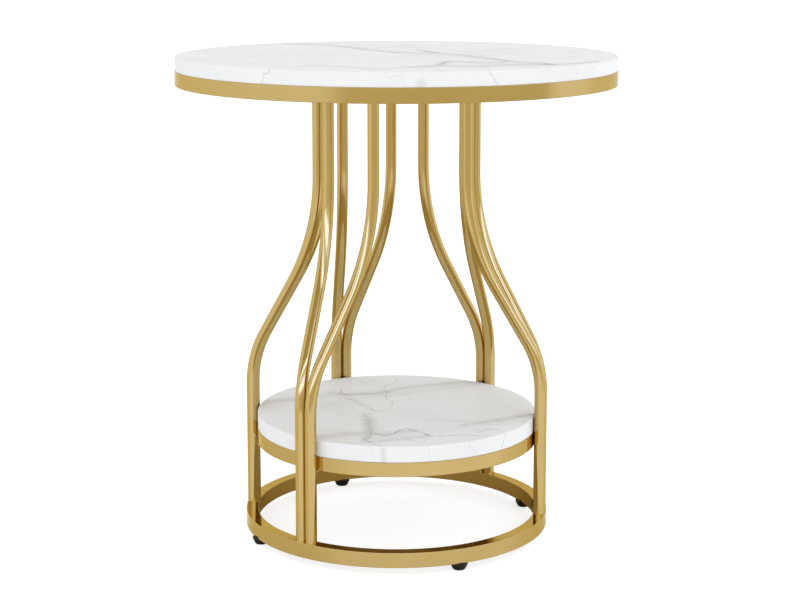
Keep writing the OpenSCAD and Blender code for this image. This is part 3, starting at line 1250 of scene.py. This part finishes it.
class SIDETABLE_OT_feet(bpy.types.Operator):
    """Make the four levelling feet"""

    bl_idname = "side_table.feet"
    bl_label = "Feet"

    def execute(self, context):
        sizes = context.scene.side_table_feet
        threads = context.scene.side_table_fasteners
        net = stud_tree()
        for foot in FEET:
            pad = "foot_pad_" + foot
            middle = middle_of(pad)
            low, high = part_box(pad)
            radius = (high.x - low.x) / 2
            floor_radius = sizes.floor_diameter / 2
            bevel_out, bevel_up = PAD_BEVEL
            outline = [
                (floor_radius, low.z),
                (floor_radius + bevel_out, low.z + bevel_up),
                (radius, high.z - sizes.collar_height),
                (radius, high.z),
            ]
            corners = [(*point, rounding) for point, rounding in zip(outline, PAD_ROUNDINGS)]
            corners = [(0, low.z, 0), *corners, (0, high.z, 0)]
            piece = turned_piece("pad_" + foot, corners, "moulded_plastic", middle.xy, 72)
            settle(piece, "foot_" + foot, [pad])

            stud = "foot_stud_" + foot
            low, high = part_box(stud)
            values = {
                "Thread": threads.bolt_diameter,
                "Length": high.z - low.z,
                "Pitch": threads.pitch,
                "Finish": material("zinc_plate"),
            }
            point = Vector((middle.x, middle.y, low.z))
            piece = grown_piece("thread_" + foot, net, [point], [0.0], values)
            settle(piece, "foot_" + foot, [stud])
        return {"FINISHED"}


# The studio as polished metal shows it: its tones
WHITE = (1.0, 1.0, 1.0)
WALL_TONE = (0.97, 0.98, 0.96)
FRONT_TONE = (0.745, 0.7, 0.54)
LIT_TONE = (1.1, 1.12, 1.25)
RIGHT_TONE = (1.0, 1.02, 1.08)
BACK_WALL_TONE = (0.86, 0.8, 0.6)
FLOOR_TONE = (1.05, 1.06, 1.09)
SIDE_FLOOR_TONE = (0.86, 0.83, 0.7)
DEEP_FLOOR_TONE = (0.5, 0.42, 0.21)
# The floor inside the base ring as polished metal shows it: darker and brown, a painted shade and a
# painted reflection of the gold round it
INNER_FLOOR_PAINTED_SHADE = (0.745, 0.648, 0.389)
CEILING_TONE = (0.56, 0.5, 0.29)
WINDOW_TONE = (1.8, 2.2, 4.1)

# Its sectors: the azimuth of the middle from the front, then the angles on either side at
# which the tone starts to fade and is gone, in degrees
FRONT_WALL = (3, 48, 67)
LIT_WALL = (76, 5, 20)
RIGHT_WALL = (138, 15, 40)
BACK_WALL = (156, 40, 75)
LEFT_FLOOR = (-124, 20, 70)
RIGHT_FLOOR = (110, 10, 50)
RIGHT_FLOOR_SHARE = 0.75

# Where a tone begins, from none to full, as the sine of the angle over the horizon
FRONT_WALL_TOP = (0.12, 0.06)
LIT_WALL_FOOT = (-0.12, -0.08)
BACK_WALL_FOOT = (0.12, 0.2)
FLOOR_START = (-0.12, -0.24)
DEEP_FLOOR_START = (-0.29, -0.43)

# The window and the ceiling on a wall at unit distance: places up it and aside, and how
# squarely a direction must face that wall for them to show
WINDOW_AZIMUTH = -16
WINDOW_SILL = (0.16, 0.2)
WINDOW_HEAD = (0.74, 0.69)
WINDOW_BAR = ((0.37, 0.39), (0.56, 0.54))
WINDOW_SIDES = ((-2.5, -1.8), (3.2, 2.3))
WINDOW_AHEAD = (0.03, 0.1)
CEILING_START = (0.74, 0.84)
CEILING_AHEAD = (0.12, 0.32)

# How much stronger the soft light is from the front, and weaker from behind
FRONT_LIGHT = 0.25

# The floor: its colour as light meets it, the shade and the glow that the camera sees, and
# the radii between which it fades out of what polished metal shows
FLOOR_COLOUR = (0.82, 0.82, 0.82)
FLOOR_SHADE = (0.54, 0.56, 0.59)
FLOOR_GLOW = 0.71
INNER_FLOOR_END = (0.17, 0.19)

# The right lamp, and the left one opposite, and the point that they face
LAMP_PLACE = (2.2, 0.08, 1.15)
LAMP_AIM = (0.0, 0.0, 0.1)
LAMP_SIZE = 0.5

# The camera's lens and shift, its distance from the table's axis, and its height
CAMERA_LENS = 83.9
CAMERA_SHIFT = (0.0045, -0.1)
CAMERA_DISTANCE = 2.1117
CAMERA_HEIGHT = 0.7017


def sector(net, level, azimuth, core, reach):
    """1 within the core angle of an azimuth, falling to 0 at the reach angle."""
    along = net.vector("DOT_PRODUCT", level, facing(azimuth))
    return net.ramped(along, math.cos(math.radians(reach)), math.cos(math.radians(core)))


def floor_material():
    """Pale floor that shows white, keeps the table's shadow, and is clear from below.

    Polished metal shows the floor inside the base ring, tinted brown as painted shade and a painted
    reflection of the gold, and the studio's floor beyond."""
    net = new_material("pale_floor", FLOOR_COLOUR)
    light = net.outputs("ShaderNodeLightPath")
    geometry = net.outputs("ShaderNodeNewGeometry")
    distance = net.vector("LENGTH", geometry["Position"])
    plain = net.add("ShaderNodeBsdfDiffuse", None, {"Color": FLOOR_COLOUR})
    # Painted shade and painted gold reflection on the floor inside the base ring, seen by polished
    # metal only.
    inner = net.add("ShaderNodeBsdfDiffuse", None, {"Color": INNER_FLOOR_PAINTED_SHADE})
    clear = net.add("ShaderNodeBsdfTransparent")
    mirrored = net.shader_mix(net.ramped(distance, *INNER_FLOOR_END), inner, clear)
    shade = net.add("ShaderNodeBsdfDiffuse", None, {"Color": FLOOR_SHADE})
    glow = net.add("ShaderNodeEmission", None, {"Color": WHITE, "Strength": FLOOR_GLOW})
    seen = net.add("ShaderNodeAddShader", None, {0: shade, 1: glow})
    shader = net.shader_mix(light["Is Glossy Ray"], plain, mirrored)
    shader = net.shader_mix(light["Is Camera Ray"], shader, seen)
    shader = net.shader_mix(geometry["Backfacing"], shader, clear)
    net.add("ShaderNodeOutputMaterial", None, {"Surface": shader})


def set_world(stage):
    """Soft light from all round, white to the camera and a studio to polished metal."""
    world = bpy.data.worlds.new("studio")
    world.use_nodes = True
    world.node_tree.nodes.clear()
    net = Net(world.node_tree)
    direction = net.outputs("ShaderNodeTexCoord")["Generated"]
    level = net.vector("NORMALIZE", net.vector("MULTIPLY", direction, LEVEL))
    height = net.parts(direction)[2]
    front = sector(net, level, *FRONT_WALL) * net.ramped(height, *FRONT_WALL_TOP)
    tone = net.colour(front, WALL_TONE, FRONT_TONE)
    lit = sector(net, level, *LIT_WALL) * net.ramped(height, *LIT_WALL_FOOT)
    tone = net.colour(lit, tone, LIT_TONE)
    tone = net.colour(sector(net, level, *RIGHT_WALL), tone, RIGHT_TONE)
    behind = sector(net, level, *BACK_WALL) * net.ramped(height, *BACK_WALL_FOOT)
    tone = net.colour(behind, tone, BACK_WALL_TONE)
    right = RIGHT_FLOOR_SHARE * sector(net, level, *RIGHT_FLOOR)
    sides = sector(net, level, *LEFT_FLOOR) + right
    ground = net.colour(sides, FLOOR_TONE, SIDE_FLOOR_TONE)
    ground = net.colour(net.ramped(height, *DEEP_FLOOR_START), ground, DEEP_FLOOR_TONE)
    tone = net.colour(net.ramped(height, *FLOOR_START), tone, ground)

    # The window is an upright rectangle on a far wall, with a bar across it.
    ahead = net.vector("DOT_PRODUCT", direction, facing(WINDOW_AZIMUTH))
    near = ahead.math("MAXIMUM", WINDOW_AHEAD[0])
    up = height / near
    aside = net.vector("DOT_PRODUCT", direction, facing(WINDOW_AZIMUTH + 90)) / near
    ceiling = net.ramped(up, *CEILING_START) * net.ramped(ahead, *CEILING_AHEAD)
    tone = net.colour(ceiling, tone, CEILING_TONE)
    window = net.ramped(up, *WINDOW_SILL) * net.ramped(up, *WINDOW_HEAD)
    bar_foot, bar_top = (net.ramped(up, *ends) for ends in WINDOW_BAR)
    left, right = (net.ramped(aside, *ends) for ends in WINDOW_SIDES)
    window = window * (1 - bar_foot * bar_top) * left * right
    tone = net.colour(window * net.ramped(ahead, *WINDOW_AHEAD), tone, WINDOW_TONE)

    light = net.outputs("ShaderNodeLightPath")
    strength = net.ramped(height, 0.0, 1.0, stage.horizon_strength, stage.sky_strength)
    towards = net.vector("DOT_PRODUCT", direction, facing(0))
    strength = strength * (1 + FRONT_LIGHT * towards)
    soft = net.add("ShaderNodeBackground", None, {0: WHITE, 1: strength})
    studio = net.add("ShaderNodeBackground", None, {0: tone, 1: 1.0})
    white = net.add("ShaderNodeBackground", None, {0: WHITE, 1: 1.0})
    shader = net.shader_mix(light["Is Glossy Ray"], soft, studio)
    shader = net.shader_mix(light["Is Camera Ray"], shader, white)
    net.add("ShaderNodeOutputWorld", None, {"Surface": shader})
    bpy.context.scene.world = world


def add_lamp(name, place, power):
    """A square lamp that faces the table; polished metal shows the studio in its place."""
    lamp = bpy.data.lights.new(name, "AREA")
    lamp.size = LAMP_SIZE
    lamp.energy = power
    holder = bpy.data.objects.new(name, lamp)
    holder.location = place
    beam = Vector(LAMP_AIM) - Vector(place)
    holder.rotation_euler = beam.to_track_quat("-Z", "Y").to_euler()
    holder.visible_glossy = False
    bpy.context.scene.collection.objects.link(holder)


class SIDETABLE_OT_stage(bpy.types.Operator):
    """Set the floor, the lamps and the camera"""

    bl_idname = "side_table.stage"
    bl_label = "Stage"

    def execute(self, context):
        stage = context.scene.side_table_stage
        half = stage.floor_size
        mesh = bpy.data.meshes.new("floor")
        square = [(-half, -half, 0), (half, -half, 0), (half, half, 0), (-half, half, 0)]
        mesh.from_pydata(square, [], [(0, 1, 2, 3)])
        floor_material()
        mesh.materials.append(bpy.data.materials["pale_floor"])
        floor = bpy.data.objects.new("floor", mesh)
        context.scene.collection.objects.link(floor)

        set_world(stage)
        side, depth, height = LAMP_PLACE
        add_lamp("left_lamp", (-side, depth, height), stage.left_power)
        add_lamp("right_lamp", (side, depth, height), stage.right_power)

        turn = stage.camera_turn
        towards = Vector(facing(math.degrees(turn)))
        lens = bpy.data.cameras.new("camera")
        lens.lens = CAMERA_LENS
        lens.shift_x, lens.shift_y = CAMERA_SHIFT
        camera = bpy.data.objects.new("camera", lens)
        camera.location = towards * CAMERA_DISTANCE + Vector((0, 0, CAMERA_HEIGHT))
        camera.rotation_euler = (math.pi / 2 - stage.camera_pitch, 0, turn)
        context.scene.collection.objects.link(camera)
        context.scene.camera = camera
        context.scene.view_settings.view_transform = "Standard"
        return {"FINISHED"}


STEPS = (
    SIDETABLE_OT_boards,
    SIDETABLE_OT_rings,
    SIDETABLE_OT_tubes,
    SIDETABLE_OT_hub,
    SIDETABLE_OT_fasteners,
    SIDETABLE_OT_feet,
    SIDETABLE_OT_stage,
)


class SIDETABLE_PT_build(bpy.types.Panel):
    """Lists the pieces of the side table"""

    bl_idname = "SIDETABLE_PT_build"
    bl_label = "Side Table"
    bl_space_type = "VIEW_3D"
    bl_region_type = "UI"
    bl_category = "Side Table"

    def draw(self, context):
        for step in STEPS:
            self.layout.operator(step.bl_idname)


GROUPS = {
    "side_table_boards": SIDETABLE_PG_boards,
    "side_table_rings": SIDETABLE_PG_rings,
    "side_table_tubes": SIDETABLE_PG_tubes,
    "side_table_fasteners": SIDETABLE_PG_fasteners,
    "side_table_feet": SIDETABLE_PG_feet,
    "side_table_finish": SIDETABLE_PG_finish,
    "side_table_stage": SIDETABLE_PG_stage,
}


def register():
    for name, group in GROUPS.items():
        bpy.utils.register_class(group)
        setattr(bpy.types.Scene, name, PointerProperty(type=group))
    for step in (*STEPS, SIDETABLE_PT_build):
        bpy.utils.register_class(step)


def unregister():
    for step in (SIDETABLE_PT_build, *reversed(STEPS)):
        bpy.utils.unregister_class(step)
    for name, group in GROUPS.items():
        delattr(bpy.types.Scene, name)
        bpy.utils.unregister_class(group)


def main():
    register()
    bpy.ops.side_table.boards()
    bpy.ops.side_table.rings()
    bpy.ops.side_table.tubes()
    bpy.ops.side_table.hub()
    bpy.ops.side_table.fasteners()
    bpy.ops.side_table.feet()
    bpy.ops.side_table.stage()


if __name__ == "__main__":
    main()
